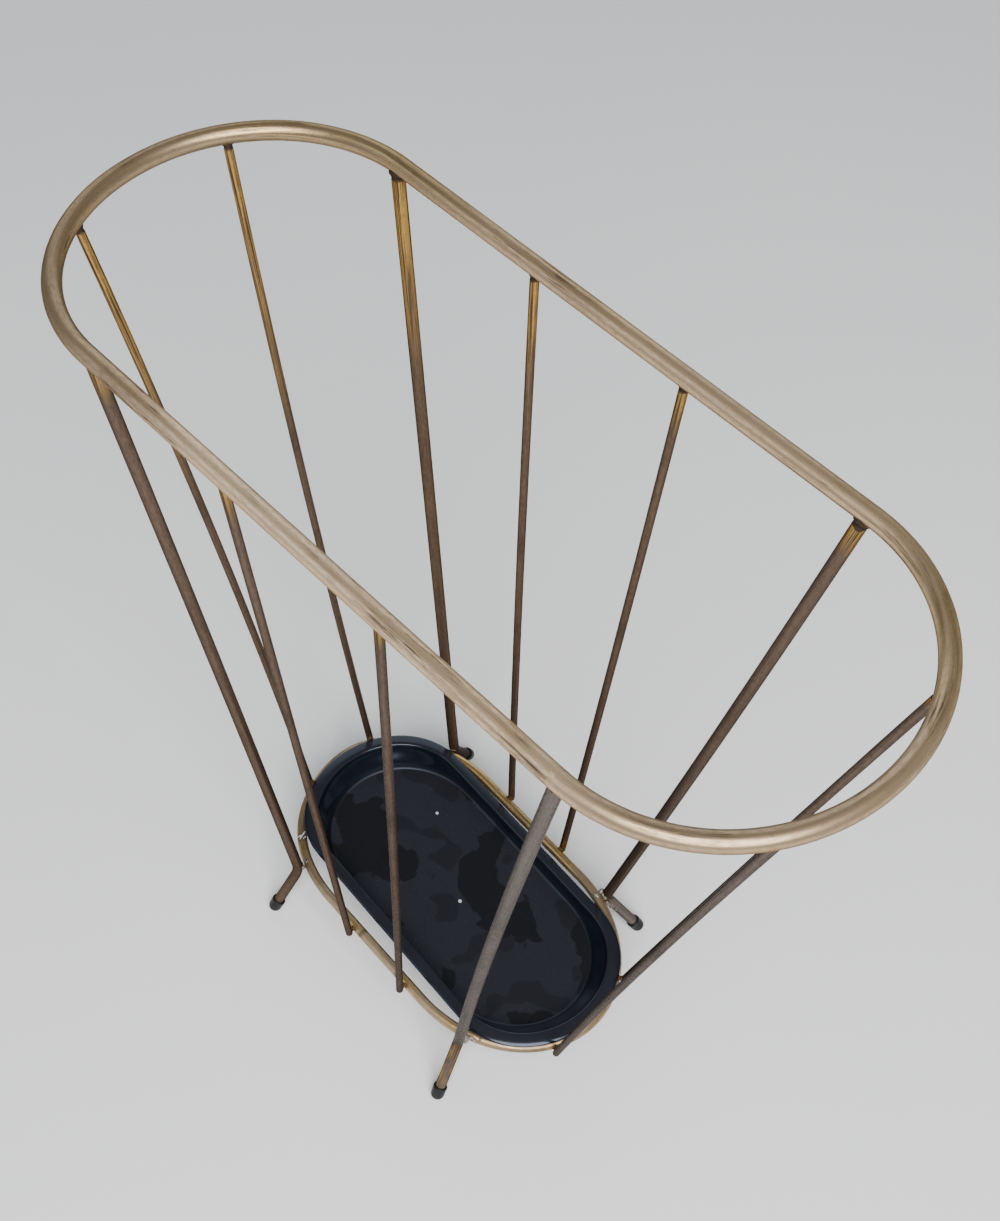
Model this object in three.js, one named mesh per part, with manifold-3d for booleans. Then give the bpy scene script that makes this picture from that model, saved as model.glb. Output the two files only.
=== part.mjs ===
// Magazine rack: a brass-coloured wire basket on four splayed legs, with a loose black tray in its foot.
// Millimetres, +Z up. The origin is on the floor, under the middle of the rim. +X runs along the rack's
// long axis and -Y is its front.
import * as THREE from 'three';
import Module from 'manifold-3d';
import { mergeVertices } from 'three/addons/utils/BufferGeometryUtils.js';

const wasm = await Module();
wasm.setup();

// ---- driving dimensions ---------------------------------------------------------------------------

// An oval is two straight sides of length 2 * straight, closed by half-ellipses that reach out by reach.
// It is turned about Z by turn degrees and moved by shift. A dent is a place on its left end that is
// knocked in: where it is round the end (from -90 at the front to 90 at the back), how far it spreads
// to each side and how deep it is.
const RIM = { straight: 152.5, reach: 89.5, halfWidth: 97, height: 510, turn: 0, shift: [0, 0] };
const RING = {
  straight: 50, reach: 87, halfWidth: 72.5, height: 47.5, turn: -2.6, shift: [-2.4, -0.7],
  dent: { angle: -18, spread: 45, depth: 3.2 },
};
const TRAY_LIP = { straight: 80.5, reach: 55.7, halfWidth: 63.7, turn: -3.9, shift: [-1.2, 1.4] };
const TRAY_FLOOR = { straight: 57, reach: 60, halfWidth: 56 };

const RIM_R = 5; // radius of the rim's tube
const RING_R = 3.5; // radius of the lower ring's rod
const LEG_R = 3.75;
const ROD_R = 2.5;
const JOINT_GAP = 0.4; // kept between brazed neighbours
const TOP_INSET = 0.8; // how far inside the rim's centreline the uprights aim

const ROD_DROP = 4; // how far a rod's end passes below the ring's centreline
const BEND_REACH = 8; // length of leg taken up by half of the bend above the foot
const FOOT_HEIGHT = 4.6; // height of the centre of a cap's round end

const CAP_R = 5;
const CAP_BORE_R = LEG_R + 0.3;
const CAP_LENGTH = 7.5; // from the centre of the round end to the cap's mouth
const LEG_END = 0.6; // how far above the centre of the round end the leg stops

const TRAY_TOP = 54.5; // height of the crest of the tray's lip
const TRAY_LIP_WIDTH = 6.5;
const TRAY_LIP_UNDER = 51.4; // height of the lip's underside, just over the ring
const TRAY_FLOOR_TOP = 38;
const TRAY_WALL = 2;

// at: which end (x) and which side (y). top and low are the places on the rim and on the ring, either
// by x along the straight or by angle round the end (0 at the tip, 90 where the straight begins).
// bow: how far the upright is bent sideways at half its length.
const LEGS = [
  { name: 'front_left', at: [-1, -1], top: { x: 151.5 }, low: { angle: 69 }, bend: 44,
    foot: [-96, -92.5], bow: [0.3, 0.3] },
  { name: 'front_right', at: [1, -1], top: { x: 153 }, low: { angle: 65.5 }, bend: 47.5,
    foot: [89, -102], bow: [-1.6, -1.5] },
  { name: 'back_right', at: [1, 1], top: { x: 149.5 }, low: { angle: 75.5 }, bend: 43.5,
    foot: [95.5, 90], bow: [1.3, 1.3] },
  { name: 'back_left', at: [-1, 1], top: { x: 156 }, low: { angle: 66 }, bend: 44.5,
    foot: [-94, 98.5] },
];
const RODS = [
  { name: 'front_left', at: [-1, -1], top: { x: 57 }, low: { x: 21.5 } },
  { name: 'front_right', at: [1, -1], top: { x: 47 }, low: { x: 34 }, bow: [0.6, 0.6] },
  { name: 'back_left', at: [-1, 1], top: { x: 56.5 }, low: { x: 29.5 }, bow: [-0.7, -0.7] },
  { name: 'back_right', at: [1, 1], top: { x: 42.5 }, low: { x: 26 }, bow: [0.6, 0.6] },
  { name: 'left_front', at: [-1, -1], top: { angle: 30 }, low: { angle: 20.2 }, bow: [3.6, 3] },
  { name: 'left_back', at: [-1, 1], top: { angle: 28.5 }, low: { angle: 23 }, bow: [-1.8, -1.8] },
  { name: 'right_back', at: [1, 1], top: { angle: 29.5 }, low: { angle: 32.5 }, bow: [-0.7, -0.5] },
  { name: 'right_front', at: [1, -1], top: { angle: 30 }, low: { angle: 20.5 }, bow: [-2, 0] },
];

// Facets
const END_STEPS = 26; // round one end of an oval
const TUBE_SIDES = 12;
const ROD_SIDES = 8;
const CAP_SIDES = 12;
const BOW_STEPS = 5;
const BEND_STEPS = 5;

// ---- materials ------------------------------------------------------------------------------------

const agedBrass = () => new THREE.MeshStandardMaterial({ color: 0x7a6544, roughness: 0.42, metalness: 0.9 });
const yellowBrass = () => new THREE.MeshStandardMaterial({ color: 0x9a7d45, roughness: 0.38, metalness: 0.9 });
const blackGloss = () => new THREE.MeshStandardMaterial({ color: 0x10131a, roughness: 0.18, metalness: 0 });
const blackRubber = () => new THREE.MeshStandardMaterial({ color: 0x121212, roughness: 0.75, metalness: 0 });

// ---- ovals ----------------------------------------------------------------------------------------

const radians = THREE.MathUtils.degToRad;

// The sideways unit vector that points out of an oval where its end's ellipse has this angle.
function outwards(oval, angle) {
  return new THREE.Vector2(Math.cos(angle) / oval.reach, Math.sin(angle) / oval.halfWidth).normalize();
}

// How far a point of an oval is pushed in by its dent.
function pushedIn(oval, x, y) {
  const pastStraight = -x - oval.straight;
  if (!oval.dent || pastStraight < 0) return new THREE.Vector3();
  const angle = Math.atan2(y / oval.halfWidth, pastStraight / oval.reach);
  const away = (THREE.MathUtils.radToDeg(angle) - oval.dent.angle) / oval.dent.spread;
  const depth = Math.abs(away) < 1 ? oval.dent.depth * Math.cos((away * Math.PI) / 2) ** 2 : 0;
  const out = outwards(oval, angle);
  return new THREE.Vector3(out.x * depth, -out.y * depth, 0);
}

// Turns and moves a point given in the oval's own axes, and sets its height.
function place(oval, x, y, z) {
  const point = new THREE.Vector3(x, y, z).add(pushedIn(oval, x, y));
  point.applyAxisAngle(new THREE.Vector3(0, 0, 1), radians(oval.turn));
  return point.add(new THREE.Vector3(oval.shift[0], oval.shift[1], 0));
}

// Columns of an oval: one end's half-turn, then the other's. The straight sides lie between the two.
const COLUMNS = 2 * (END_STEPS + 1);
function column(index) {
  const i = index % COLUMNS;
  const right = i <= END_STEPS;
  const step = right ? i : i - END_STEPS - 1;
  return { end: right ? 1 : -1, angle: radians((right ? -90 : 90) + (180 * step) / END_STEPS) };
}

// A round tube bent to an oval: a torus whose rings of vertices are moved to the oval's columns.
function ovalTube(oval, radius) {
  const geometry = new THREE.TorusGeometry(1, 0.1, TUBE_SIDES, COLUMNS);
  const position = geometry.attributes.position;
  for (let n = 0; n < position.count; n += 1) {
    const { end, angle } = column(n % (COLUMNS + 1));
    const around = (2 * Math.PI * Math.floor(n / (COLUMNS + 1))) / TUBE_SIDES;
    const out = outwards(oval, angle).multiplyScalar(radius * Math.cos(around));
    const x = end * oval.straight + oval.reach * Math.cos(angle) + out.x;
    const y = oval.halfWidth * Math.sin(angle) + out.y;
    const moved = place(oval, x, y, oval.height + radius * Math.sin(around));
    position.setXYZ(n, moved.x, moved.y, moved.z);
  }
  return geometry;
}

// A point beside an oval, moved out from its centreline by out.
function beside(oval, spot, at, out) {
  const onEnd = spot.angle !== undefined;
  const past = onEnd ? 0 : Math.max(0, (spot.x - oval.straight) / oval.reach);
  const angle = onEnd ? radians(spot.angle) : Math.acos(past);
  const x = onEnd ? oval.straight + oval.reach * Math.cos(angle) : spot.x;
  const y = oval.halfWidth * Math.sin(angle);
  const away = outwards(oval, angle).multiplyScalar(out);
  return place(oval, at[0] * (x + away.x), at[1] * (y + away.y), oval.height);
}

// ---- uprights -------------------------------------------------------------------------------------

// A round bar through a list of points: a cylinder whose levels of vertices are moved to the points.
// The last level is narrowed to round off the lower end.
function bar(points, radius, sides, endScale) {
  const levels = points.length - 1;
  const geometry = new THREE.CylinderGeometry(radius, radius, 1, sides, levels);
  const position = geometry.attributes.position;
  for (let n = 0; n < position.count; n += 1) {
    const level = Math.round((0.5 - position.getY(n)) * levels);
    const ahead = points[Math.min(level + 1, levels)];
    const behind = points[Math.max(level - 1, 0)];
    const up = behind.clone().sub(ahead).normalize();
    const side = new THREE.Vector3(1, 0, 0).addScaledVector(up, -up.x).normalize();
    const across = side.clone().cross(up);
    const scale = level === levels ? endScale : 1;
    const moved = points[level].clone();
    moved.addScaledVector(side, position.getX(n) * scale);
    moved.addScaledVector(across, position.getZ(n) * scale);
    position.setXYZ(n, moved.x, moved.y, moved.z);
  }
  return geometry;
}

// Points from one place to another along a gentle bow.
function bowed(from, to, bow) {
  const steps = bow ? BOW_STEPS : 1;
  const points = [];
  for (let i = 0; i <= steps; i += 1) {
    const t = i / steps;
    const point = from.clone().lerp(to, t);
    if (bow) point.add(new THREE.Vector3(bow[0], bow[1], 0).multiplyScalar(4 * t * (1 - t)));
    points.push(point);
  }
  return points;
}

// The point at a distance along the way from one point to another.
function along(from, to, distance) {
  return from.clone().addScaledVector(to.clone().sub(from).normalize(), distance);
}

function rodGeometry({ at, top, low, bow }) {
  const aim = beside(RIM, top, at, -TOP_INSET);
  const side = beside(RING, low, at, RING_R + ROD_R + JOINT_GAP);
  const end = along(aim, side, aim.distanceTo(side) + ROD_DROP);
  const start = along(aim, end, RIM_R + 2 * JOINT_GAP);
  const points = bowed(start, end, bow);
  points.push(along(start, end, start.distanceTo(end) + 1));
  return bar(points, ROD_R, ROD_SIDES, 0.6);
}

function legPoints({ at, top, low, bend, foot, bow }) {
  const aim = beside(RIM, top, at, -TOP_INSET);
  const knee = beside(RING, low, at, RING_R + LEG_R + JOINT_GAP).setZ(bend);
  const tip = new THREE.Vector3(foot[0], foot[1], FOOT_HEIGHT);
  const start = along(aim, knee, RIM_R + 3 * JOINT_GAP);
  const points = bowed(start, along(knee, aim, BEND_REACH), bow);
  const curve = new THREE.QuadraticBezierCurve3(points.at(-1), knee, along(knee, tip, BEND_REACH));
  points.push(...curve.getPoints(BEND_STEPS).slice(1));
  points.push(along(tip, knee, LEG_END));
  return { points, knee, tip };
}

// ---- caps -----------------------------------------------------------------------------------------

function solid(geometry) {
  const bare = geometry.clone();
  bare.deleteAttribute('normal');
  bare.deleteAttribute('uv');
  const merged = mergeVertices(bare);
  const vertProperties = new Float32Array(merged.attributes.position.array);
  const triVerts = new Uint32Array(merged.index.array);
  return new wasm.Manifold(new wasm.Mesh({ numProp: 3, vertProperties, triVerts }));
}

function geometryOf(manifold) {
  const mesh = manifold.getMesh();
  const geometry = new THREE.BufferGeometry();
  geometry.setAttribute('position', new THREE.BufferAttribute(mesh.vertProperties, 3));
  geometry.setIndex(new THREE.BufferAttribute(mesh.triVerts, 1));
  return geometry;
}

// A rubber cup with a round end, slipped over the end of a leg and worn flat where it meets the floor.
function capGeometry(knee, tip) {
  const roundEnd = new THREE.Path().absarc(0, 0, CAP_R, -Math.PI / 2, 0).getPoints(5);
  roundEnd[0].x = 0;
  const profile = [
    ...roundEnd,
    new THREE.Vector2(CAP_R, CAP_LENGTH - 0.8),
    new THREE.Vector2(CAP_R - 0.5, CAP_LENGTH),
    new THREE.Vector2(CAP_BORE_R, CAP_LENGTH),
    new THREE.Vector2(CAP_BORE_R, LEG_END - 0.4),
    new THREE.Vector2(0, LEG_END - 0.4),
  ];
  const geometry = new THREE.LatheGeometry(profile, CAP_SIDES);
  const direction = knee.clone().sub(tip).normalize();
  const lean = new THREE.Quaternion().setFromUnitVectors(new THREE.Vector3(0, 1, 0), direction);
  geometry.applyQuaternion(lean);
  geometry.translate(tip.x, tip.y, tip.z);
  const floor = new THREE.BoxGeometry(4 * CAP_R, 4 * CAP_R, 2 * CAP_R);
  floor.translate(tip.x, tip.y, -CAP_R);
  return geometryOf(solid(geometry).subtract(solid(floor)));
}

// ---- tray -----------------------------------------------------------------------------------------

// The tray's section, from the middle of its underside up its outside, over its lip and down to its floor.
// wall: 0 on the lip's outline, 1 on the floor's. out: how far outside that outline. middle: on the axis.
const TRAY_SECTION = [
  { middle: true, z: TRAY_FLOOR_TOP - TRAY_WALL },
  { wall: 1, out: -1.5, z: TRAY_FLOOR_TOP - TRAY_WALL },
  { wall: 1, out: TRAY_WALL - 1.2, z: TRAY_FLOOR_TOP - 1.1 },
  { wall: 0.97, out: TRAY_WALL - 0.2, z: TRAY_FLOOR_TOP + 1.8 },
  { wall: 0.15, out: TRAY_WALL - TRAY_LIP_WIDTH, z: TRAY_LIP_UNDER },
  { wall: 0, out: -0.8, z: TRAY_LIP_UNDER },
  { wall: 0, out: 0, z: TRAY_TOP - 2.3 },
  { wall: 0, out: -1, z: TRAY_TOP - 0.9 },
  { wall: 0.05, out: -TRAY_LIP_WIDTH / 2, z: TRAY_TOP },
  { wall: 0.12, out: 1.2 - TRAY_LIP_WIDTH, z: TRAY_TOP - 0.8 },
  { wall: 0.15, out: -TRAY_LIP_WIDTH, z: TRAY_TOP - 3 },
  { wall: 0.97, out: -0.2, z: TRAY_FLOOR_TOP + 3 },
  { wall: 1, out: -1.2, z: TRAY_FLOOR_TOP + 0.9 },
  { wall: 1, out: -3.5, z: TRAY_FLOOR_TOP },
  { middle: true, z: TRAY_FLOOR_TOP },
];

// A bowl turned on a lathe, with its columns of vertices moved out to the tray's ovals.
function trayGeometry() {
  const rows = TRAY_SECTION.length;
  const profile = TRAY_SECTION.map(({ middle, z }) => new THREE.Vector2(middle ? 0 : 1, z));
  const geometry = new THREE.LatheGeometry(profile, COLUMNS);
  const position = geometry.attributes.position;
  const blend = THREE.MathUtils.lerp;
  for (let n = 0; n < position.count; n += 1) {
    const { middle, wall, out, z } = TRAY_SECTION[n % rows];
    const { end, angle } = column(Math.floor(n / rows));
    const straight = middle ? 0 : blend(TRAY_LIP.straight, TRAY_FLOOR.straight, wall);
    const reach = middle ? 0 : blend(TRAY_LIP.reach, TRAY_FLOOR.reach, wall) + out;
    const halfWidth = middle ? 0 : blend(TRAY_LIP.halfWidth, TRAY_FLOOR.halfWidth, wall) + out;
    const x = end * straight + reach * Math.cos(angle);
    const moved = place(TRAY_LIP, x, halfWidth * Math.sin(angle), z);
    position.setXYZ(n, moved.x, moved.y, moved.z);
  }
  return geometry;
}

// ---- the rack -------------------------------------------------------------------------------------

const rack = new THREE.Group();

function add(name, geometry, material) {
  const mesh = new THREE.Mesh(geometry, material);
  mesh.name = name;
  rack.add(mesh);
}

add('rim', ovalTube(RIM, RIM_R), agedBrass());
add('lower_ring', ovalTube(RING, RING_R), yellowBrass());
for (const rod of RODS) add(`rod_${rod.name}`, rodGeometry(rod), agedBrass());
for (const leg of LEGS) {
  const { points, knee, tip } = legPoints(leg);
  add(`leg_${leg.name}`, bar(points, LEG_R, TUBE_SIDES, 1), agedBrass());
  add(`foot_cap_${leg.name}`, capGeometry(knee, tip), blackRubber());
}
add('tray', trayGeometry(), blackGloss());

export default rack;
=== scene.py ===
"""The looks of the magazine rack: brass tubes, brazed joints, rubber feet and a glossy black tray.

Lengths below are in millimetres; Blender's are in metres.
"""
import math
import random

import bmesh
import bpy
from mathutils import Matrix, Vector, noise


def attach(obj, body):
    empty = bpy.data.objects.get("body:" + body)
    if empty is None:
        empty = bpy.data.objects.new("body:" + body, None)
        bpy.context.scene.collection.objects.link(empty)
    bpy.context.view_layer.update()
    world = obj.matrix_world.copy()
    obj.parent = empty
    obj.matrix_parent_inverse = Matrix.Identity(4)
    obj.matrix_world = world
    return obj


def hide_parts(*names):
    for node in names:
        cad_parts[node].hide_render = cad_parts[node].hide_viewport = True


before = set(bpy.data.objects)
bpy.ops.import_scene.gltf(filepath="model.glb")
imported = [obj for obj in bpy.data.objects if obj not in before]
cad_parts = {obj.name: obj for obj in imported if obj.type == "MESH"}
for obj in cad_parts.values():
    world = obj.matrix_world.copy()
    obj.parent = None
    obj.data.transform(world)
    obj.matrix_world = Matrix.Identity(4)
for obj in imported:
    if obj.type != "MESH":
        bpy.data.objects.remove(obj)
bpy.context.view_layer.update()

MM = 0.001
UP = Vector((0, 0, 1))

# ---- dimensions ------------------------------------------------------------------------------------
# The part's own driving dimensions, apart from those of the rods' round ends and the flared caps: the part
# has both in a plainer form.

RIM = {"straight": 152.5, "reach": 89.5, "half_width": 97, "height": 510, "turn": 0, "shift": (0, 0)}
RING = {"straight": 50, "reach": 87, "half_width": 72.5, "height": 47.5, "turn": -2.6, "shift": (-2.4, -0.7),
        "dent": {"angle": -18, "spread": 45, "depth": 3.2}}
TRAY_LIP = {"straight": 80.5, "reach": 55.7, "half_width": 63.7, "turn": -3.9, "shift": (-1.2, 1.4)}
TRAY_FLOOR = {"straight": 57, "reach": 60, "half_width": 56}

RIM_R = 5
RING_R = 3.5
LEG_R = 3.75
ROD_R = 2.5
JOINT_GAP = 0.4
TOP_INSET = 0.8
ROD_DROP = 5  # from a rod's joint with the ring to the tip of its round end
BEND_REACH = 8
FOOT_HEIGHT = 4.3  # of the centre of a cap's round end
CAP_R = 4.7  # of a cap's round end, from which it flares to its mouth
CAP_LENGTH = 7.5
LEG_END = 0.6
TRAY_TOP = 54.5
TRAY_LIP_WIDTH = 6.5
TRAY_LIP_UNDER = 51.4
TRAY_FLOOR_TOP = 38
TRAY_WALL = 2

# at: end (x) and side (y). top, low: places on the rim and the ring, by x or by angle round the end.
# neck: length of the dark braze under the rim. gold: how far clean metal shows below it. low_gold: the
# same above the ring, on a rod. pale: from 0 for a brown patina to 1 for a grey one. foot_highlight: a
# painted highlight on a leg's foot, laid on as patches of clean metal. foot_pale: how grey a leg's foot is.
# solder: its size, and how far it runs along the ring, towards its end or (negative) away from it, and
# down the foot.
LEGS = {
    "front_left": {"at": (-1, -1), "top": {"x": 151.5}, "low": {"angle": 69}, "bend": 44,
                   "foot": (-96, -92.5), "bow": (0.3, 0.3), "neck": 2, "gold": 24, "pale": 0.08,
                   "foot_highlight": 0, "foot_pale": 0.08, "solder": (0.75, 2, 0)},
    "front_right": {"at": (1, -1), "top": {"x": 153}, "low": {"angle": 65.5}, "bend": 47.5,
                    "foot": (89, -102), "bow": (-1.6, -1.5), "neck": 2, "gold": 0, "pale": 0.85,
                    "foot_highlight": 0.7, "foot_pale": 0.3, "solder": (1.3, 12, 0)},
    "back_right": {"at": (1, 1), "top": {"x": 149.5}, "low": {"angle": 75.5}, "bend": 43.5,
                   "foot": (95.5, 90), "bow": (1.3, 1.3), "neck": 3.4, "gold": 28, "pale": 0.15,
                   "foot_highlight": 0, "foot_pale": 0.5, "solder": (1.2, -3, 14)},
    "back_left": {"at": (-1, 1), "top": {"x": 156}, "low": {"angle": 66}, "bend": 44.5,
                  "foot": (-94, 98.5), "bow": (0, 0), "neck": 2.2, "gold": 125, "pale": 0.0,
                  "foot_highlight": 0, "foot_pale": 0.0, "solder": (0.5, 2, 0)},
}
RODS = {
    "front_left": {"at": (-1, -1), "top": {"x": 57}, "low": {"x": 21.5}, "bow": (0, 0),
                   "neck": 2, "gold": 30, "pale": 0.12, "low_gold": 4},
    "front_right": {"at": (1, -1), "top": {"x": 47}, "low": {"x": 34}, "bow": (0.6, 0.6),
                    "neck": 2, "gold": 20, "pale": 0.2, "low_gold": 4},
    "back_left": {"at": (-1, 1), "top": {"x": 56.5}, "low": {"x": 29.5}, "bow": (-0.7, -0.7),
                  "neck": 1.8, "gold": 85, "pale": 0.02, "low_gold": 8},
    "back_right": {"at": (1, 1), "top": {"x": 42.5}, "low": {"x": 26}, "bow": (0.6, 0.6),
                   "neck": 1.6, "gold": 34, "pale": 0.03, "low_gold": 22},
    "left_front": {"at": (-1, -1), "top": {"angle": 30}, "low": {"angle": 20.2}, "bow": (3.6, 3),
                   "neck": 1.6, "gold": 190, "pale": 0.03, "low_gold": 4},
    "left_back": {"at": (-1, 1), "top": {"angle": 28.5}, "low": {"angle": 23}, "bow": (-1.8, -1.8),
                  "neck": 1.6, "gold": 190, "pale": 0.03, "low_gold": 4},
    "right_back": {"at": (1, 1), "top": {"angle": 29.5}, "low": {"angle": 32.5}, "bow": (-0.7, -0.5),
                   "neck": 2, "gold": 10, "pale": 0.2, "low_gold": 4},
    "right_front": {"at": (1, -1), "top": {"angle": 30}, "low": {"angle": 20.5}, "bow": (-2, 0),
                    "neck": 2, "gold": 0, "pale": 0.55, "low_gold": 4},
}

# ---- small helpers ---------------------------------------------------------------------------------


def smooth(low, high, value):
    """0 below low, 1 above high and an S-curve between."""
    t = min(1.0, max(0.0, (value - low) / (high - low)))
    return t * t * (3 - 2 * t)


def mix(a, b, t):
    return a + (b - a) * t


def wobble(*at):
    """Smooth, repeatable noise from about -1 to 1."""
    return noise.noise(Vector(at))


def uneven(radius, depth, *at):
    """A tube's radius, up to twice depth smaller here and there and never much larger."""
    return radius - depth + depth * wobble(*at)


# ---- ovals -----------------------------------------------------------------------------------------


def outwards(oval, angle):
    return Vector((math.cos(angle) / oval["reach"], math.sin(angle) / oval["half_width"])).normalized()


def pushed_in(oval, x, y):
    """How far a point is moved by the dent in an oval's left end."""
    past_straight = -x - oval["straight"]
    if "dent" not in oval or past_straight < 0:
        return Vector((0, 0, 0))
    dent = oval["dent"]
    angle = math.atan2(y / oval["half_width"], past_straight / oval["reach"])
    away = (math.degrees(angle) - dent["angle"]) / dent["spread"]
    depth = dent["depth"] * math.cos(away * math.pi / 2) ** 2 if abs(away) < 1 else 0
    out = outwards(oval, angle)
    return Vector((out.x * depth, -out.y * depth, 0))


def place(oval, x, y, z):
    """A point given in the oval's own axes, turned and moved into the rack's."""
    point = Vector((x, y, z)) + pushed_in(oval, x, y)
    return Matrix.Rotation(math.radians(oval["turn"]), 3, "Z") @ point + Vector((*oval["shift"], 0))


def beside(oval, spot, at, out):
    """A point at a place on an oval, moved out from its centreline by out."""
    if "angle" in spot:
        angle = math.radians(spot["angle"])
        x = oval["straight"] + oval["reach"] * math.cos(angle)
    else:
        angle = math.acos(max(0.0, (spot["x"] - oval["straight"]) / oval["reach"]))
        x = spot["x"]
    y = oval["half_width"] * math.sin(angle)
    away = outwards(oval, angle) * out
    return place(oval, at[0] * (x + away.x), at[1] * (y + away.y), oval["height"])


def oval_points(oval, step):
    """Points round an oval's centreline, about step apart."""
    corners = []
    arc_steps = 360
    for end in (1, -1):
        for i in range(arc_steps + 1):
            angle = math.radians(-90 * end + 180 * i / arc_steps)
            x = end * oval["straight"] + oval["reach"] * math.cos(angle)
            corners.append(place(oval, x, oval["half_width"] * math.sin(angle), oval["height"]))
    corners.append(corners[0])
    spans = [(b - a).length for a, b in zip(corners, corners[1:])]
    count = round(sum(spans) / step)
    points = []
    span, start = 0, 0.0
    for i in range(count):
        want = sum(spans) * i / count
        while start + spans[span] < want:
            start += spans[span]
            span += 1
        share = (want - start) / spans[span] if spans[span] else 0.0
        points.append(corners[span].lerp(corners[span + 1], share))
    return points


# ---- meshes ----------------------------------------------------------------------------------------


def finish_mesh(name, vertices, faces, material, body, nodes=()):
    """A smooth piece from points in millimetres, riding on a body and standing for CAD nodes."""
    mesh = bpy.data.meshes.new(name)
    mesh.from_pydata([v * MM for v in vertices], [], faces)
    mesh.validate()
    mesh.polygons.foreach_set("use_smooth", [True] * len(mesh.polygons))
    mesh.materials.append(material)
    piece = bpy.data.objects.new(name, mesh)
    bpy.context.scene.collection.objects.link(piece)
    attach(piece, body)
    if nodes:
        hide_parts(*nodes)
    return piece


def add_attribute(piece, name, values):
    kind = "FLOAT_VECTOR" if isinstance(values[0], Vector) else "FLOAT"
    attribute = piece.data.attributes.new(name, kind, "POINT")
    if kind == "FLOAT":
        attribute.data.foreach_set("value", values)
    else:
        attribute.data.foreach_set("vector", [c for v in values for c in v])


def tube(name, points, radius, sides, material, nodes, bare, pale, closed=False, reference=UP):
    """A swept tube. radius(distance, direction) gives its radius.

    bare(distance, angle) gives its clean metal, or less than 0 where it is burnt, and pale(point) how pale
    its patina is. On a leg's foot, bare also lays on a painted highlight, and on the rim's right front pale
    is lowered as painted shade.
    """
    vertices, flow, clean, tones = [], [], [], []
    travelled = 0.0
    count = len(points)
    for i, point in enumerate(points):
        ahead = points[(i + 1) % count] if closed else points[min(i + 1, count - 1)]
        behind = points[i - 1] if closed else points[max(i - 1, 0)]
        forward = (ahead - behind).normalized()
        side = (reference - forward * forward.dot(reference)).normalized()
        across = forward.cross(side)
        for j in range(sides):
            angle = 2 * math.pi * j / sides
            direction = side * math.cos(angle) + across * math.sin(angle)
            r = radius(travelled, direction)
            vertices.append(point + direction * r)
            flow.append(Vector((r * math.cos(angle), r * math.sin(angle), travelled)))
            clean.append(bare(travelled, angle))
            tones.append(pale(point))
        travelled += (ahead - point).length
    faces = []
    for i in range(count if closed else count - 1):
        for j in range(sides):
            a, b = i * sides + j, i * sides + (j + 1) % sides
            c, d = ((i + 1) % count) * sides + (j + 1) % sides, ((i + 1) % count) * sides + j
            faces.append((a, b, c, d))
    if not closed:
        faces.append(tuple(range(sides - 1, -1, -1)))
        faces.append(tuple(range((count - 1) * sides, count * sides)))
    piece = finish_mesh(name, vertices, faces, material, "frame", nodes)
    add_attribute(piece, "flow", flow)
    add_attribute(piece, "bare", clean)
    add_attribute(piece, "pale", tones)


# ---- materials -------------------------------------------------------------------------------------


class Material:
    """A Principled material with short calls for the nodes that feed it."""

    def __init__(self, name):
        self.data = bpy.data.materials.new(name)
        self.data.use_nodes = True
        self.tree = self.data.node_tree
        self.shader = self.tree.nodes["Principled BSDF"]

    def node(self, kind, inputs=(), **settings):
        made = self.tree.nodes.new(kind)
        for key, value in settings.items():
            setattr(made, key, value)
        for key, value in dict(inputs).items():
            self.put(made.inputs[key], value)
        return made

    def put(self, socket, value):
        if isinstance(value, bpy.types.NodeSocket):
            self.tree.links.new(value, socket)
        else:
            socket.default_value = value

    def set(self, **values):
        """Sets the shader's inputs, named in small letters with _ for each space."""
        for key, value in values.items():
            self.put(self.shader.inputs[key.replace("_", " ").title().replace("Ior", "IOR")], value)

    def attribute(self, name, output):
        return self.node("ShaderNodeAttribute", attribute_name=name).outputs[output]

    def object_position(self):
        return self.node("ShaderNodeTexCoord").outputs["Object"]

    def stretched(self, vector, x, y, z):
        inputs = {0: vector, 1: (x, y, z)}
        return self.node("ShaderNodeVectorMath", inputs, operation="MULTIPLY").outputs[0]

    def noise(self, vector, scale, detail, roughness=0.55):
        inputs = {"Vector": vector, "Scale": scale, "Detail": detail, "Roughness": roughness}
        return self.node("ShaderNodeTexNoise", inputs).outputs["Fac"]

    def step(self, value, low, high, start=0.0, end=1.0):
        inputs = {"Value": value, "From Min": low, "From Max": high, "To Min": start, "To Max": end}
        return self.node("ShaderNodeMapRange", inputs, interpolation_type="SMOOTHSTEP").outputs["Result"]

    def math(self, operation, a, b):
        """Arithmetic whose result is held between 0 and 1."""
        return self.node("ShaderNodeMath", {0: a, 1: b}, operation=operation, use_clamp=True).outputs[0]

    def mix(self, factor, a, b):
        """One colour laid over another; each is a socket or red, green and blue."""
        a, b = ((*colour, 1) if isinstance(colour, tuple) else colour for colour in (a, b))
        return self.node("ShaderNodeMix", {0: factor, 6: a, 7: b}, data_type="RGBA").outputs[2]

    def bump(self, height, distance, strength):
        inputs = {"Height": height, "Distance": distance, "Strength": strength}
        return self.node("ShaderNodeBump", inputs).outputs["Normal"]


MARK_COLOUR = (0.04, 0.032, 0.024)
BURNT_COLOUR = (0.035, 0.024, 0.015)


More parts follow.
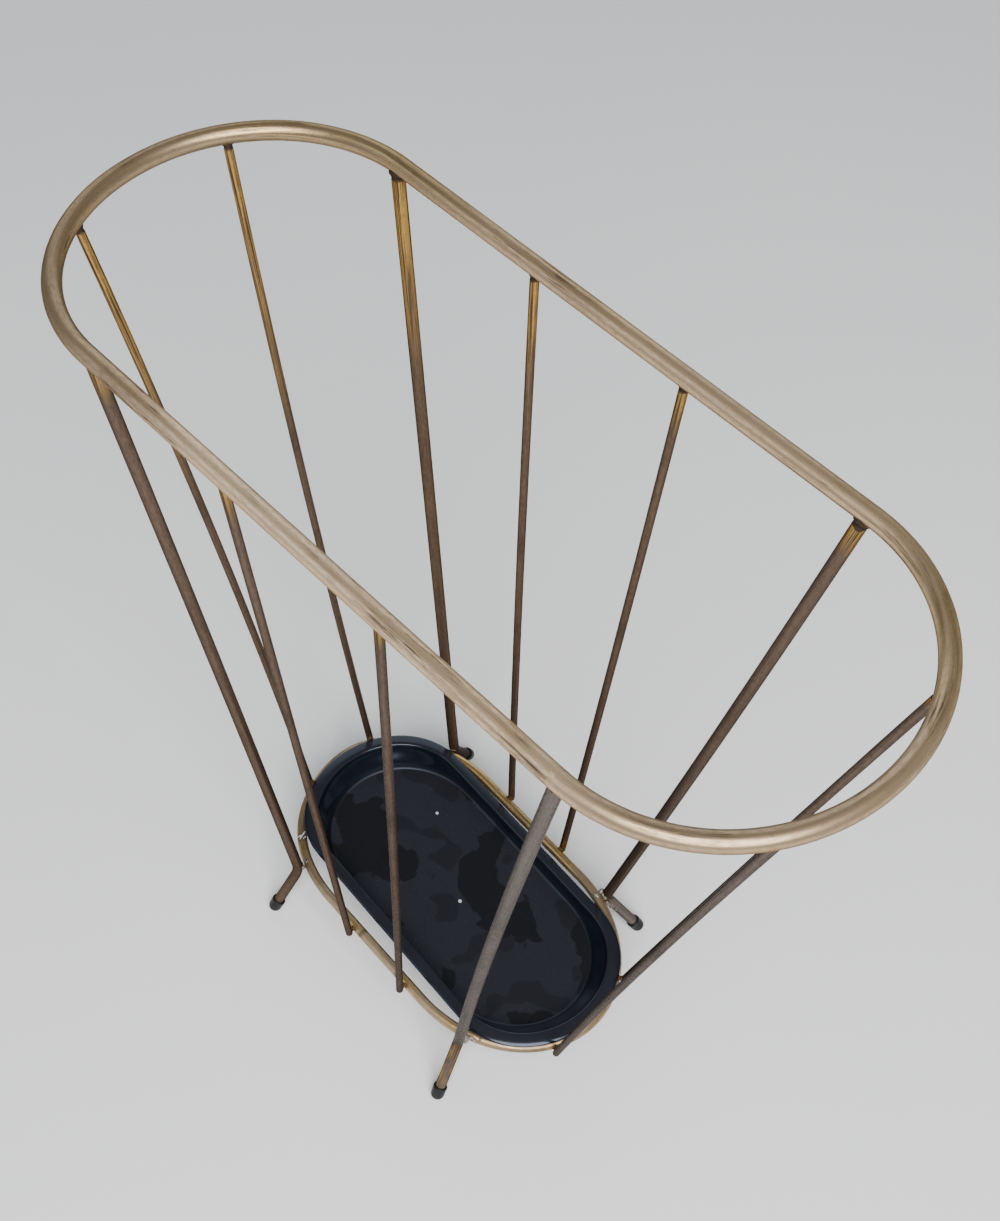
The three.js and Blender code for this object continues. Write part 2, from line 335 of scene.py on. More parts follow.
def brass(name, patina, pale, stain, clean, gloss, marks, dark_streak_and_painted_stripe_strength):
    """Aged brass: a dark or pale patina, darker stains, streaks and marks, and bare metal. The streaks along
    a tube are partly drawn-metal grain and partly painted reflection stripes.

    gloss is its lowest roughness, marks is how strong its marks are, and the last argument how strong its
    dark streaks and painted stripes are.
    """
    m = Material(name)
    flow = m.attribute("flow", "Vector")
    bare = m.attribute("bare", "Fac")
    bared = m.math("MULTIPLY", bare, 1.0)
    burnt = m.math("MULTIPLY", bare, -1.0)
    clouds = m.noise(m.stretched(flow, 1, 1, 0.3), 0.06, 3)
    mottle = m.noise(m.stretched(flow, 1, 1, 0.35), 0.8, 4)
    drawn_streaks_and_painted_stripes = m.noise(m.stretched(flow, 1, 1, 0.012), 1.5, 3, 0.6)
    grain = m.noise(m.stretched(flow, 1, 1, 0.3), 5, 2)
    stained = m.math("ADD", m.step(mottle, 0.35, 0.75, 0.0, 0.5), m.step(clouds, 0.4, 0.75, 0.0, 0.4))
    paleness = m.attribute("pale", "Fac")
    stain = m.mix(paleness, stain, tuple(0.45 * channel for channel in pale))
    colour = m.mix(stained, m.mix(paleness, patina, pale), stain)
    # dark streaks along the tube: partly drawn-metal grain, partly painted reflection stripes
    colour = m.mix(m.step(drawn_streaks_and_painted_stripes, 0.5, 0.64, 0.0, dark_streak_and_painted_stripe_strength), colour, stain)
    # in clean metal, gold and dark streaks alternate: partly grain, partly painted reflection stripes
    shows = m.math("MULTIPLY", bared, m.step(drawn_streaks_and_painted_stripes, 0.55, 0.47, 0.0, 1.0))
    colour = m.mix(m.math("MULTIPLY", bared, m.step(drawn_streaks_and_painted_stripes, 0.49, 0.57, 0.0, 0.8)), colour, stain)
    shows = m.math("MULTIPLY", shows, m.step(mottle, 0.3, 0.55, 0.6, 1.0))
    colour = m.mix(shows, colour, clean)
    dash = m.step(m.noise(m.stretched(flow, 1, 1, 0.035), 0.9, 5, 0.65), 0.5, 0.68)
    dash = m.math("MULTIPLY", dash, m.step(clouds, 0.47, 0.57, 0.0, marks))
    colour = m.mix(dash, colour, MARK_COLOUR)
    colour = m.mix(m.math("MULTIPLY", burnt, 0.9), colour, BURNT_COLOUR)
    rough = m.step(mottle, 0.3, 0.7, gloss, gloss + 0.12)
    rough = m.math("SUBTRACT", rough, m.math("MULTIPLY", shows, 0.16))
    rough = m.math("ADD", rough, m.math("MULTIPLY", m.math("ADD", burnt, dash), 0.15))
    height = m.math("ADD", m.math("MULTIPLY", grain, 0.4), m.math("MULTIPLY", drawn_streaks_and_painted_stripes, 0.4))
    height = m.math("SUBTRACT", height, m.math("MULTIPLY", dash, 0.4))
    m.set(base_color=colour, roughness=rough, metallic=m.math("ADD", m.math("MULTIPLY", shows, 0.2), 0.8),
          normal=m.bump(height, 0.00012, 0.5), specular_tint=(0.12, 0.1, 0.08, 1))
    return m.data


def solder():
    """Dull lumpy solder and braze, with flux left on it."""
    m = Material("solder_grey")
    spot = m.object_position()
    mottle = m.noise(spot, 420, 5)
    fine = m.noise(spot, 1300, 3)
    colour = m.mix(m.step(mottle, 0.38, 0.62), (0.11, 0.085, 0.062), (0.27, 0.24, 0.20))
    colour = m.mix(m.step(fine, 0.62, 0.66), colour, (0.66, 0.63, 0.58))
    rough = m.step(mottle, 0.3, 0.7, 0.3, 0.55)
    m.set(base_color=colour, roughness=rough, metallic=0.6, normal=m.bump(fine, 0.0003, 0.9))
    return m.data


def black_tray():
    """Glossy blue-black, dusty on the lip, with a film of dried water on the floor."""
    m = Material("tray_black")
    spot = m.object_position()
    height = m.node("ShaderNodeSeparateXYZ", {0: spot}).outputs["Z"]
    on_floor = m.step(height, (TRAY_FLOOR_TOP + 0.4) * MM, (TRAY_FLOOR_TOP + 2) * MM, 1.0, 0.0)
    flat = m.stretched(spot, 1, 1, 0)
    shapes = m.math("ADD", m.math("MULTIPLY", m.noise(flat, 18, 1, 0.3), 0.8),
                    m.math("MULTIPLY", m.noise(flat, 70, 2, 0.4), 0.2))
    film = m.math("MULTIPLY", m.step(shapes, 0.462, 0.476), on_floor)
    second = m.step(m.noise(flat, 33, 1, 0.4), 0.59, 0.605, 0.0, 0.5)
    film = m.math("SUBTRACT", film, m.math("MULTIPLY", second, on_floor))
    haze = m.noise(spot, 300, 4)
    colour = m.mix(on_floor, (0.004, 0.0055, 0.0095), (0.0085, 0.0083, 0.0092))
    colour = m.mix(film, colour, (0.0155, 0.0162, 0.0205))
    on_lip = m.step(height, (TRAY_TOP - 2) * MM, (TRAY_TOP - 0.8) * MM)
    colour = m.mix(on_lip, colour, (0.014, 0.0145, 0.019))
    colour = m.mix(m.step(haze, 0.5, 0.8, 0.0, 0.004), colour, (0.2, 0.2, 0.22))
    corner = m.math("MULTIPLY", m.step(height, (TRAY_FLOOR_TOP + 0.1) * MM, (TRAY_FLOOR_TOP + 0.5) * MM),
                    m.step(height, (TRAY_FLOOR_TOP + 3) * MM, (TRAY_FLOOR_TOP + 5) * MM, 0.28, 0.0))
    rough = m.math("ADD", m.step(on_floor, 0, 1, 0.13, 0.2), corner)
    rough = m.math("ADD", rough, m.math("MULTIPLY", film, 0.06))
    rough = m.math("ADD", rough, m.step(haze, 0.4, 0.8, 0.0, 0.02))
    wave = m.noise(spot, 30, 2)
    m.set(base_color=colour, roughness=rough, normal=m.bump(wave, 0.0004, 0.12), ior=1.5,
          specular_tint=(0.68, 0.78, 1.0, 1))
    return m.data


def flux_white_and_drop_highlight_material():
    """Pale grey and chalky: the white of the flux, and a painted highlight standing in for the shine of a
    drop.
    """
    m = Material("flux_white_and_drop_highlight")
    chalk = m.noise(m.object_position(), 1500, 3)
    colour = m.mix(m.step(chalk, 0.35, 0.65), (0.35, 0.36, 0.36), (0.72, 0.74, 0.74))
    m.set(base_color=colour, roughness=m.step(chalk, 0.3, 0.7, 0.2, 0.4), normal=m.bump(chalk, 0.0001, 0.5))
    return m.data


def rubber():
    m = Material("foot_rubber")
    spot = m.object_position()
    grain = m.noise(spot, 2200, 3)
    scuffs = m.step(m.noise(m.stretched(spot, 1, 1, 0.3), 240, 5), 0.52, 0.7)
    colour = m.mix(m.math("MULTIPLY", scuffs, 0.5), (0.006, 0.006, 0.007), (0.028, 0.026, 0.024))
    rough = m.step(grain, 0.3, 0.7, 0.42, 0.62)
    m.set(base_color=colour, roughness=rough, normal=m.bump(grain, 0.0001, 0.6), specular_ior_level=0.3)
    return m.data


def pale_floor():
    m = Material("floor_pale")
    cloud = m.noise(m.object_position(), 3, 3)
    m.set(base_color=m.mix(cloud, (0.82, 0.83, 0.85), (0.87, 0.87, 0.88)), roughness=0.75)
    return m.data


RIM_BRASS = brass("rim_brass", (0.36, 0.265, 0.165), (0.86, 0.63, 0.415), (0.19, 0.135, 0.085),
                  (0.62, 0.42, 0.17), 0.27, 0.85, 0.15)
BAR_BRASS = brass("bar_brass", (0.125, 0.082, 0.054), (0.25, 0.229, 0.215), (0.06, 0.038, 0.025),
                  (0.43, 0.256, 0.063), 0.3, 0.1, 0.45)
RING_BRASS = brass("ring_brass", (0.31, 0.225, 0.138), (0.50, 0.37, 0.23), (0.13, 0.085, 0.05),
                   (0.88, 0.58, 0.2), 0.32, 0.5, 0.4)
SOLDER = solder()
TRAY_BLACK = black_tray()
# pale grey: the flux's own white, and on the drops a painted highlight
FLUX_WHITE_AND_DROP_HIGHLIGHT = flux_white_and_drop_highlight_material()
RUBBER = rubber()

# ---- rim and lower ring ----------------------------------------------------------------------------

RIM_STEP = 2.5
RING_STEP = 1.5
RIM_SIDES = 32
RING_SIDES = 28
OVAL_UNEVEN = 0.04


def rim():
    points = oval_points(RIM, RIM_STEP)

    def radius(distance, direction):
        return uneven(RIM_R, OVAL_UNEVEN, distance * 0.05, direction.z * 2, 3.1)

    def bare(distance, angle):
        point = points[min(len(points) - 1, round(distance / RIM_STEP))]
        back = 0.3 * smooth(20, 80, point.y)
        return back + 0.35 * smooth(-0.1, 0.5, wobble(distance * 0.012, math.cos(angle), 7.7))

    def pale(point):
        front = smooth(50, -60, point.y) * smooth(180, 110, point.x)
        # painted shade: the rim's right front is made darker, to tone down the lamp's highlight there
        right_front = smooth(130, 205, point.x) * smooth(60, -60, point.y)
        return smooth(-190, -50, point.x) * (0.55 + 0.45 * front - 0.42 * right_front)

    tube("rim_tube", points, radius, RIM_SIDES, RIM_BRASS, ["rim"], bare, pale, closed=True)


def ring():
    points = oval_points(RING, RING_STEP)
    joints = [beside(RING, spec["low"], spec["at"], 0) for spec in RODS.values()]
    between_leg_and_flux = {"angle": 61}
    joints.append(beside(RING, between_leg_and_flux, (-1, -1), 0))
    tinned = beside(RING, LEGS["back_right"]["low"], LEGS["back_right"]["at"], 0)
    clean = []
    for i, point in enumerate(points):
        gap = min((point - joint).length for joint in joints)
        back = 0.85 * smooth(35, 60, point.y) * (1 - smooth(45, 75, point.x))
        left = 0.5 * smooth(110, 130, -point.x)
        patchy = 0.45 * smooth(-0.2, 0.5, wobble(i * 0.045, 0.3, 1.9))
        spot = 0.95 * math.exp(-(gap / 5) ** 2)
        stain = 0.9 * math.exp(-((gap - 8) / 2.5) ** 2) * smooth(-0.1, 0.3, wobble(i * 0.21, 4.2, 0.7))
        tarnish = 0.35 * smooth(60, 110, point.x) * smooth(20, -20, point.y)
        tin = smooth(34, 22, (point - tinned).length)
        clean.append(mix(max(back, left, patchy, spot) - stain - tarnish, -0.1, tin))

    def radius(distance, direction):
        return uneven(RING_R, OVAL_UNEVEN, distance * 0.07, direction.z * 2, 9.4)

    def bare(distance, angle):
        return clean[min(len(clean) - 1, round(distance / RING_STEP))]

    def pale(point):
        front = smooth(0, -45, point.y) * smooth(-90, -60, point.x)
        back = smooth(20, 55, point.y) * smooth(20, 60, point.x)
        return 0.25 + 0.75 * front * (1 - smooth(60, 110, point.x)) + 0.4 * back

    tube("lower_ring_rod", points, radius, RING_SIDES, RING_BRASS, ["lower_ring"], bare,
         pale, closed=True)


# ---- uprights --------------------------------------------------------------------------------------

FINE_STEP = 0.5
COARSE_STEP = 3.0
FINE_TOP = 16  # how much of a bar's top has fine steps, for the braze
FINE_ROD_END = 12
ROD_SIDES = 24
LEG_SIDES = 28
BAR_UNEVEN = 0.03
WASTED = 0.3  # how far the braze's heat has wasted a bar
BURNT = -0.8  # the braze itself, as a value of bare
ROD_FLARE = 1.0
LEG_FLARE = 1.7
ACROSS = Vector((1, 0, 0))


def along(start, end, distance):
    return start + (end - start).normalized() * distance


def spaced(length, fine_start, fine_end):
    """Distances along a bar, close together over its first and last stretches."""
    places = [0.0]
    while places[-1] < length - 1e-6:
        fine = places[-1] < fine_start or places[-1] > length - fine_end
        places.append(min(length, places[-1] + (FINE_STEP if fine else COARSE_STEP)))
    return places


def rim_tangent(spec):
    """The rim's own direction where an upright meets it."""
    a = beside(RIM, spec["top"], spec["at"], 0)
    nearest = min(range(len(RIM_POINTS)), key=lambda i: (RIM_POINTS[i] - a).length)
    following = RIM_POINTS[(nearest + 1) % len(RIM_POINTS)]
    return (following - RIM_POINTS[nearest]).normalized()


def neck_edge(spec, x, y, seed):
    """How far below the rim the ragged edge of the braze lies."""
    return spec["neck"] + 0.45 * wobble(x * 1.5, y * 1.5, seed)


def neck_radius(spec, bar_radius, tangent, flare, seed):
    """The radius of a bar whose top is wasted by the braze and spreads out where it meets the rim."""
    def radius(distance, direction):
        below = distance - RIM_R
        spread = flare * (0.35 + 0.65 * direction.dot(tangent) ** 2)
        fillet = spread * math.exp(-max(0.0, below + 0.5) / (0.6 * flare))
        edge = neck_edge(spec, direction.x, direction.y, seed)
        wasted = WASTED * (1 - smooth(edge - 0.25, edge + 0.25, below))
        return uneven(bar_radius, BAR_UNEVEN, distance * 0.06, direction.x, seed) + fillet - wasted

    return radius


def upright_bare(spec, length, seed):
    """Burnt braze at the top, clean metal under it fading to patina, clean again near the ring, and a
    painted highlight on a foot.
    """
    def bare(distance, angle):
        below = distance - RIM_R
        edge = neck_edge(spec, math.cos(angle), math.sin(angle), seed)
        if below < edge:
            return BURNT
        value = 1 - smooth(edge + 0.3, edge + 1.2, below)
        if spec["gold"]:
            reach = spec["gold"] * (1 + 0.3 * wobble(math.cos(angle), distance * 0.02, seed + 5))
            value = max(value, 1 - smooth(reach * 0.05, reach, below))
        if "low_gold" in spec:
            above = length - distance
            value = max(value, 0.8 * (1 - smooth(spec["low_gold"] * 0.4, spec["low_gold"], above)))
        # painted highlight: patches of clean metal on a leg's foot stand in for a shine
        if distance > length:
            value = spec.get("foot_highlight", 0) * smooth(-0.3, 0.3, wobble(distance * 0.2, angle * 0.8, seed))
        return value

    return bare


def bow_points(start, end, places, length, bow):
    points = []
    for distance in places:
        t = distance / length
        point = start.lerp(end, t)
        point += Vector((*bow, 0)) * (4 * t * (1 - t))
        points.append(point)
    return points


def rod(name, spec, seed):
    aim = beside(RIM, spec["top"], spec["at"], -TOP_INSET)
    side = beside(RING, spec["low"], spec["at"], RING_R + ROD_R + JOINT_GAP)
    end = along(aim, side, (side - aim).length + ROD_DROP)
    length = (end - aim).length
    places = spaced(length, FINE_TOP, FINE_ROD_END)
    points = bow_points(aim, end, places, length, spec["bow"])
    shape = neck_radius(spec, ROD_R, rim_tangent(spec), ROD_FLARE, seed)

    def radius(distance, direction):
        past = max(0.0, distance - (length - ROD_R))
        rounding = math.sqrt(max(0.003, 1 - (past / ROD_R) ** 2))
        return shape(distance, direction) * rounding

    tube("rod_" + name + "_bar", points, radius, ROD_SIDES, BAR_BRASS, ["rod_" + name],
         upright_bare(spec, length, seed), lambda point: spec["pale"], reference=ACROSS)
    return side


def leg(name, spec, seed):
    aim = beside(RIM, spec["top"], spec["at"], -TOP_INSET)
    knee = beside(RING, spec["low"], spec["at"], RING_R + LEG_R + JOINT_GAP)
    knee.z = spec["bend"]
    tip = Vector((*spec["foot"], FOOT_HEIGHT))
    bend_start = along(knee, aim, BEND_REACH)
    bend_end = along(knee, tip, BEND_REACH)
    straight = (bend_start - aim).length
    points = bow_points(aim, bend_start, spaced(straight, FINE_TOP, 1), straight, spec["bow"])
    bend_steps = 16
    for i in range(1, bend_steps + 1):
        t = i / bend_steps
        points.append(bend_start.lerp(knee, t).lerp(knee.lerp(bend_end, t), t))
    foot_end = along(tip, knee, LEG_END)
    foot_steps = 12
    points += [bend_end.lerp(foot_end, (i + 1) / foot_steps) for i in range(foot_steps)]
    shape = neck_radius(spec, LEG_R, rim_tangent(spec), LEG_FLARE, seed)

    def pale(point):
        above_bend = smooth(spec["bend"], spec["bend"] + 6, point.z)
        return mix(spec["foot_pale"], spec["pale"], above_bend)

    tube("leg_" + name + "_bar", points, shape, LEG_SIDES, BAR_BRASS, ["leg_" + name],
         upright_bare(spec, straight, seed), pale, reference=ACROSS)
    foot_cap(name, knee, tip)
    return knee, tip


# ---- rubber feet -----------------------------------------------------------------------------------


def foot_cap(name, knee, tip):
    """A turned rubber cup, worn flat where it meets the floor."""
    bore = LEG_R + 0.2
    profile = [(0.001, -CAP_R)]
    round_steps = 10
    for i in range(1, round_steps + 1):
        angle = math.radians(90 * i / round_steps)
        profile.append((CAP_R * math.sin(angle), -CAP_R * math.cos(angle)))
    profile += [(CAP_R + 0.05, 2), (CAP_R + 0.1, 4.5), (CAP_R + 0.2, CAP_LENGTH - 1.2),
                (CAP_R + 0.15, CAP_LENGTH - 0.5), (CAP_R - 0.1, CAP_LENGTH - 0.1),
                (CAP_R - 0.4, CAP_LENGTH), (bore + 0.15, CAP_LENGTH - 0.1), (bore, CAP_LENGTH - 0.5),
                (bore, LEG_END - 0.2), (0.001, LEG_END - 0.2)]
    axis = (knee - tip).normalized()
    side = axis.orthogonal().normalized()
    across = axis.cross(side)
    sides = 40
    vertices = []
    for r, z in profile:
        for j in range(sides):
            angle = 2 * math.pi * j / sides
            point = tip + axis * z + (side * math.cos(angle) + across * math.sin(angle)) * r
            point.z = max(0.0, point.z)
            vertices.append(point)
    faces = [tuple(range(sides - 1, -1, -1))]
    for i in range(len(profile) - 1):
        for j in range(sides):
            k = (j + 1) % sides
            faces.append((i * sides + j, i * sides + k, (i + 1) * sides + k, (i + 1) * sides + j))
    faces.append(tuple(range((len(profile) - 1) * sides, len(profile) * sides)))
    finish_mesh("foot_cap_" + name + "_rubber", vertices, faces, RUBBER, "frame",
                ["foot_cap_" + name])


# ---- braze and solder at the ring ------------------------------------------------------------------


def lumps(name, centres, material, voxel=0.35):
    """One irregular blob from overlapping balls, melted together and roughened."""
    build = bmesh.new()
    for centre, radius in centres:
        made = bmesh.ops.create_icosphere(build, subdivisions=3, radius=radius)
        bmesh.ops.translate(build, verts=made["verts"], vec=centre)
    mesh = bpy.data.meshes.new(name + "_rough")
    build.to_mesh(mesh)
    build.free()
    rough = bpy.data.objects.new(name + "_rough", mesh)
    bpy.context.scene.collection.objects.link(rough)
    melt = rough.modifiers.new("melt", "REMESH")
    melt.mode = "VOXEL"
    melt.voxel_size = voxel
    soften = rough.modifiers.new("soften", "SMOOTH")
    soften.iterations = 4
    evaluated = rough.evaluated_get(bpy.context.evaluated_depsgraph_get())
    melted = bpy.data.meshes.new_from_object(evaluated)
    vertices = []
    for v in melted.vertices:
        bulge = voxel * (noise.noise(v.co * 0.7) + 0.4 * noise.noise(v.co * 2.1))
        vertices.append(v.co + v.normal * bulge)
    faces = [tuple(p.vertices) for p in melted.polygons]
    bpy.data.objects.remove(rough)
    piece = finish_mesh(name, vertices, faces, material, "frame")
    add_attribute(piece, "flow", [v.copy() for v in vertices])
    add_attribute(piece, "bare", [0.35] * len(vertices))
    add_attribute(piece, "pale", [0.3] * len(vertices))


def rod_nub(name, spec, side):
    """The small bead that holds a rod to the ring."""
    inner = beside(RING, spec["low"], spec["at"], RING_R - 0.3)
    middle = (inner + side) / 2
    centres = [(middle, 1.9), (middle + UP * 1.4, 1.3), (middle - UP * 1.3, 1.4)]
    lumps("braze_rod_" + name, centres, BAR_BRASS, 0.3)


def leg_solder(name, spec, knee, tip, seed):
    """A run of solder between a leg and the ring, drawn out along the ring and down the foot."""
    rng = random.Random(seed)
    inner = beside(RING, spec["low"], spec["at"], RING_R - 0.4)
    level = Vector((knee.x, knee.y, RING["height"]))
    middle = (inner + level) / 2
    away = (level - inner).normalized()
    sideways = away.cross(UP)
    size, drawn, down = spec["solder"]
    centres = [(middle, 2.4 * size)]
    balls = 5
    for _ in range(balls):
        offset = sideways * rng.uniform(-3, 3) + UP * rng.uniform(-1.8, 1.8) + away * rng.uniform(-1.2, 0.8)
        centres.append((middle + offset * size, rng.uniform(1.2, 1.9) * size))
    mean_reach = 80
    steps = 6
    for i in range(1, steps + 1):
        share = i / steps
        turned = {"angle": spec["low"]["angle"] - math.degrees(drawn * share / mean_reach)}
        lowest, highest = (15, 85) if spec["at"][1] < 0 else (60, 110)
        lean = math.radians(rng.uniform(lowest, highest))
        out = -spec["at"][1] * math.cos(lean) * (RING_R - 0.6)
        run = beside(RING, turned, spec["at"], out) + UP * math.sin(lean) * (RING_R - 0.6)
        centres.append((run, (1.8 - 0.8 * share) * size))
        if down:
            foot = along(knee, tip, down * share)
            round_foot = rng.uniform(0.2, 1.5)
            off_axis = sideways * math.sin(round_foot) - away * math.cos(round_foot)
            centres.append((foot + off_axis * (LEG_R - 0.3), (1.6 - 0.6 * share) * size))
    lumps("solder_leg_" + name, centres, SOLDER)


# strokes of white flux left on top of the ring: where each starts and ends, by angle round the ring's
# left front and by distance out from its centreline
FLUX = [((52.6, -2.0), (56.2, 1.6)), ((54.4, 0.2), (54.8, 2.9)), ((55.3, -2.2), (56.1, -1.0))]


def flux():
    """A thin crust of white flux."""
    centres = []
    steps = 8
    for start, end in FLUX:
        for i in range(steps + 1):
            share = i / steps
            angle, out = mix(start[0], end[0], share), mix(start[1], end[1], share)
            height = math.sqrt(RING_R ** 2 - out ** 2)
            spot = beside(RING, {"angle": angle}, (-1, -1), out) + UP * height
            centres.append((spot, 0.5 + 0.25 * wobble(angle * 3, out, 2.2)))
    lumps("flux_flake", centres, FLUX_WHITE_AND_DROP_HIGHLIGHT, 0.18)


# ---- tray ------------------------------------------------------------------------------------------


def tray():
    """The tray's section swept round its ovals, then smoothed by subdivision.

    Each row of the section is (wall, out, z): wall is 0 on the lip's outline and 1 on the floor's, and
    out is how far outside that outline the row runs.
    """
    low = TRAY_FLOOR_TOP - TRAY_WALL
    section = [
        (1, -40, low), (1, -4, low), (1, -1.2, low), (1, 0.6, low + 0.7), (0.97, 1.6, low + 3.2),
        (0.2, TRAY_WALL - TRAY_LIP_WIDTH, TRAY_LIP_UNDER - 1.6),
        (0.15, TRAY_WALL - TRAY_LIP_WIDTH + 0.3, TRAY_LIP_UNDER),
        (0.06, -2.2, TRAY_LIP_UNDER), (0, -0.6, TRAY_LIP_UNDER), (0, 0.1, TRAY_LIP_UNDER + 0.4),
        (0, 0.1, TRAY_TOP - 2.3), (0, -0.5, TRAY_TOP - 1.6), (0.04, -1.9, TRAY_TOP - 0.9),
        (0.08, -3.6, TRAY_TOP - 0.4), (0.13, -5.5, TRAY_TOP + 0.05), (0.15, -6.5, TRAY_TOP - 0.3),
        (0.16, -6.9, TRAY_TOP - 1.8), (0.2, -6.7, TRAY_TOP - 4.0),
        (0.95, -0.5, TRAY_FLOOR_TOP + 4.2), (0.99, -0.75, TRAY_FLOOR_TOP + 1.4),
        (1, -1.5, TRAY_FLOOR_TOP + 0.25), (1, -2.8, TRAY_FLOOR_TOP), (1, -6, TRAY_FLOOR_TOP),
        (1, -40, TRAY_FLOOR_TOP),
    ]
    end_steps = 28
    columns = []
    for end in (1, -1):
        for i in range(end_steps + 1):
            columns.append((end, math.radians(-90 * end + 180 * i / end_steps)))
        for share in (0.5, 0.0, -0.5):
            columns.append((end * share, math.radians(90 * end)))
    vertices = []
    for wall, out, z in section:
        straight = mix(TRAY_LIP["straight"], TRAY_FLOOR["straight"], wall)
        reach = mix(TRAY_LIP["reach"], TRAY_FLOOR["reach"], wall) + out
        half_width = mix(TRAY_LIP["half_width"], TRAY_FLOOR["half_width"], wall) + out
        for end, angle in columns:
            x = end * straight + reach * math.cos(angle)
            vertices.append(place(TRAY_LIP, x, half_width * math.sin(angle), z))
    faces = []
    count = len(columns)
    for i in range(len(section) - 1):
        for j in range(count):
            k = (j + 1) % count
            faces.append((i * count + j, i * count + k, (i + 1) * count + k, (i + 1) * count + j))
    faces.append(tuple(range(count - 1, -1, -1)))
    faces.append(tuple(range((len(section) - 1) * count, len(section) * count)))
    piece = finish_mesh("tray_dish", vertices, faces, TRAY_BLACK, "tray", ["tray"])
    rounding = piece.modifiers.new("rounding", "SUBSURF")
    rounding.levels = 2
    rounding.render_levels = 2


# where a drop stands on the tray's floor, its radius, and the height of its rim and middle; each drop is
# coloured pale grey as a painted highlight
DROPS = {"drop_back": ((-58.4, 33.0), 1.25, 0.75, 0.75), "drop_middle": ((5.0, -3.2), 1.4, 0.7, 0.15)}


def drop(name, spot, radius, height, middle):
    """A round bead a little flattened, or hollow when its middle is lower than its rim."""
    rings = 8
    sides = 24
    base = TRAY_FLOOR_TOP - 0.15
    vertices = [Vector((*spot, base + middle))]
    for i in range(1, rings + 1):
        share = i / rings
        level = mix(middle, height, smooth(0, 0.65, share)) * math.sqrt(max(0.0, 1 - share ** 4))
        for j in range(sides):
            angle = 2 * math.pi * j / sides
            around = Vector((math.cos(angle), math.sin(angle), 0)) * radius * share
            vertices.append(Vector((*spot, base + level)) + around)
    faces = [(0, 1 + j, 1 + (j + 1) % sides) for j in range(sides)]
    for i in range(rings - 1):
        for j in range(sides):
            a, b = 1 + i * sides + j, 1 + i * sides + (j + 1) % sides
            faces.append((a, a + sides, b + sides, b))
    faces.append(tuple(1 + (rings - 1) * sides + j for j in range(sides - 1, -1, -1)))
    # painted highlight: the drop is coloured pale grey to stand in for its shine
    finish_mesh("tray_" + name, vertices, faces, FLUX_WHITE_AND_DROP_HIGHLIGHT, "tray")


# ---- stage -----------------------------------------------------------------------------------------


def floor():
    size = 20.0
    mesh = bpy.data.meshes.new("floor")
    corners = [(-size, -size, 0), (size, -size, 0), (size, size, 0), (-size, size, 0)]
    mesh.from_pydata(corners, [], [(0, 1, 2, 3)])
    mesh.materials.append(pale_floor())
    plane = bpy.data.objects.new("floor", mesh)
    bpy.context.scene.collection.objects.link(plane)


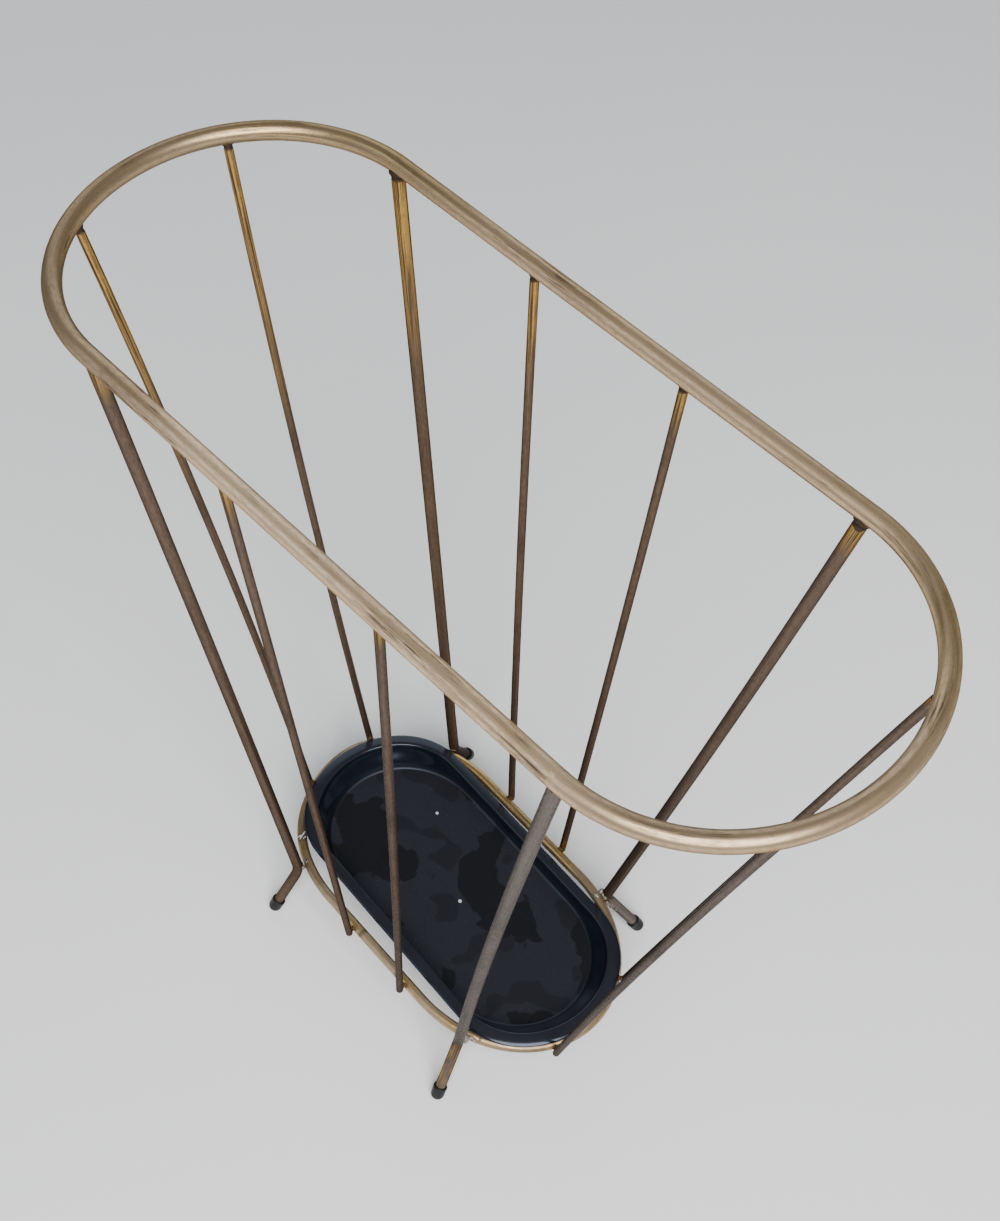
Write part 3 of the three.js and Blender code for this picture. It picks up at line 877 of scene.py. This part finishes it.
def sky():
    """Paler round the horizon than overhead, with brighter patches that the tubes and the tray mirror."""
    world = bpy.data.worlds.new("studio")
    world.use_nodes = True
    tree = world.node_tree
    direction = tree.nodes.new("ShaderNodeTexCoord").outputs["Generated"]

    def towards(aim, low, high, start, end):
        dot = tree.nodes.new("ShaderNodeVectorMath")
        dot.operation = "DOT_PRODUCT"
        dot.inputs[1].default_value = aim
        ramp = tree.nodes.new("ShaderNodeMapRange")
        ramp.interpolation_type = "SMOOTHSTEP"
        tree.links.new(direction, dot.inputs[0])
        tree.links.new(dot.outputs["Value"], ramp.inputs["Value"])
        for key, value in (("From Min", low), ("From Max", high), ("To Min", start), ("To Max", end)):
            ramp.inputs[key].default_value = value
        return ramp.outputs["Result"]

    horizon, overhead = 0.55, 0.14
    glow = towards((0, 0, 1), -0.05, 0.32, horizon, overhead)
    far_patch = ((-0.756, 0.605, 0.252), 0.79, 0.90, 1.1)
    near_patch = ((0.36, -0.30, 0.88), 0.90, 0.98, 0.3)
    left_patch = ((-0.39, -0.75, 0.53), 0.91, 0.985, 1.1)
    for aim, low, high, strength in (far_patch, near_patch, left_patch):
        total = tree.nodes.new("ShaderNodeMath")
        tree.links.new(glow, total.inputs[0])
        tree.links.new(towards(aim, low, high, 0.0, strength), total.inputs[1])
        glow = total.outputs[0]
    background = tree.nodes["Background"]
    tree.links.new(glow, background.inputs["Strength"])
    background.inputs["Color"].default_value = (0.85, 0.925, 1.0, 1)
    bpy.context.scene.world = world


def key_light():
    """One large soft lamp, placed where the tray's floor doesn't mirror it to the camera."""
    data = bpy.data.lights.new("key", "AREA")
    data.shape = "DISK"
    data.size = 2.4
    data.energy = 147
    data.color = (1.0, 0.985, 0.96)
    lamp = bpy.data.objects.new("key", data)
    lamp.location = (1.4, -1.0, 2.2)
    rack_middle = Vector((0, 0, 0.25))
    lamp.rotation_mode = "QUATERNION"
    lamp.rotation_quaternion = (rack_middle - lamp.location).to_track_quat("-Z", "Y")
    bpy.context.scene.collection.objects.link(lamp)


def camera():
    """The photograph's viewpoint, solved from the rack's own proportions."""
    azimuth, elevation, roll = (math.radians(a) for a in (42.85, 59.30, 3.87))
    data = bpy.data.cameras.new("camera")
    data.sensor_width = 36
    data.lens = 44.851
    data.shift_y = 0.12285
    back = Vector((math.sin(azimuth) * math.cos(elevation), -math.cos(azimuth) * math.cos(elevation),
                   math.sin(elevation)))
    right = UP.cross(back).normalized()
    top = back.cross(right)
    turned_right = right * math.cos(roll) + top * math.sin(roll)
    turned_top = top * math.cos(roll) - right * math.sin(roll)
    seat = bpy.data.objects.new("camera", data)
    place_at = Matrix((turned_right, turned_top, back)).transposed().to_4x4()
    place_at.translation = Vector((0.33648, -0.32878, 1.01846))
    seat.matrix_world = place_at
    bpy.context.scene.collection.objects.link(seat)
    bpy.context.scene.camera = seat


# ---- the rack --------------------------------------------------------------------------------------

RIM_POINTS = oval_points(RIM, RIM_STEP)

rim()
ring()
for number, (name, spec) in enumerate(RODS.items()):
    rod_nub(name, spec, rod(name, spec, 11.3 + 3.7 * number))
for number, (name, spec) in enumerate(LEGS.items()):
    knee, tip = leg(name, spec, 53.1 + 4.1 * number)
    leg_solder(name, spec, knee, tip, 100 + number)
flux()
tray()
for name, (spot, radius, height, middle) in DROPS.items():
    drop(name, spot, radius, height, middle)
floor()
sky()
key_light()
camera()
